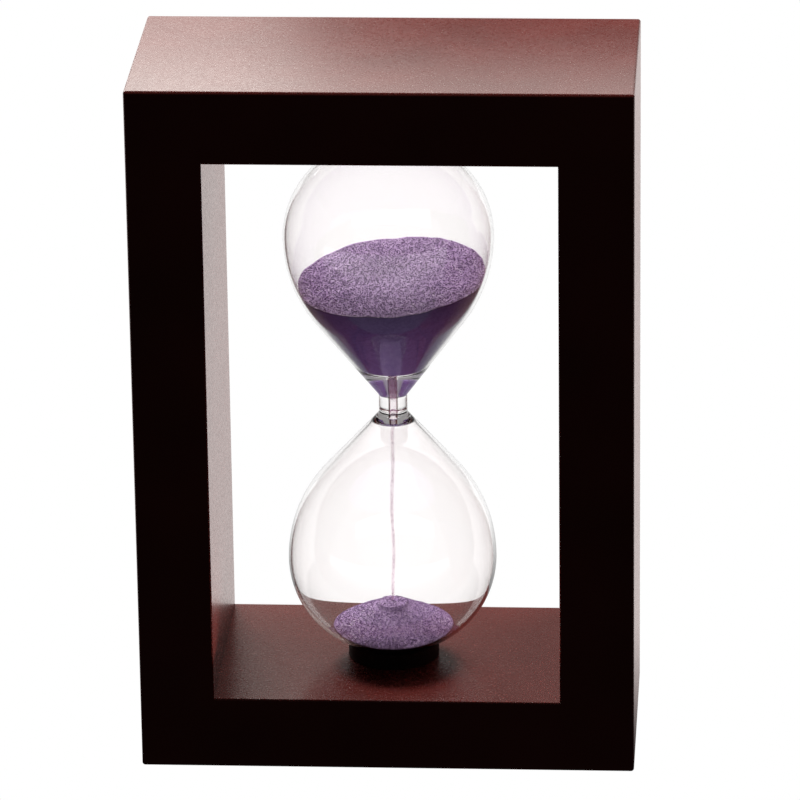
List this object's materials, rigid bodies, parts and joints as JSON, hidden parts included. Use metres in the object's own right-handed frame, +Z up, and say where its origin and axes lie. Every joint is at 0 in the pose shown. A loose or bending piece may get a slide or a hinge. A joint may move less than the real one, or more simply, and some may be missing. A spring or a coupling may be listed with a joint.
{
  "type": "hourglass",
  "caption": "Sand timer with a blown glass double bulb held upright in an open rectangular wooden frame; it is turned over to start.",
  "frame": {"origin": "centre of the base, on the surface it stands on", "axes": "+Z up along the glass, +X to the right seen from the front, -Y to the front"},
  "size_m": [0.1, 0.05, 0.144],
  "materials": {
    "lacquer": "dark red-brown satin lacquer",
    "dowel_wood": "plain",
    "glass": "clear, polished",
    "black_rubber": "matt",
    "felt": "felt",
    "stopper_rubber": "matt",
    "violet_sand": "fine dyed grain"
  },
  "bodies": {
    "root": {"bottom_board": "lacquer", "top_board": "lacquer", "left_post": "lacquer", "right_post": "lacquer", "dowel_top_left_front": "dowel_wood", "dowel_top_left_back": "dowel_wood", "dowel_top_right_front": "dowel_wood", "dowel_top_right_back": "dowel_wood", "dowel_bottom_left_front": "dowel_wood", "dowel_bottom_left_back": "dowel_wood", "dowel_bottom_right_front": "dowel_wood", "dowel_bottom_right_back": "dowel_wood", "glass": "glass", "lower_ring": "black_rubber", "upper_ring": "black_rubber", "lower_cushion": "felt", "upper_cushion": "felt", "stopper": "stopper_rubber", "sand_upper": "violet_sand", "sand_stream": "violet_sand", "sand_heap": "violet_sand"}
  },
  "joints": []
}
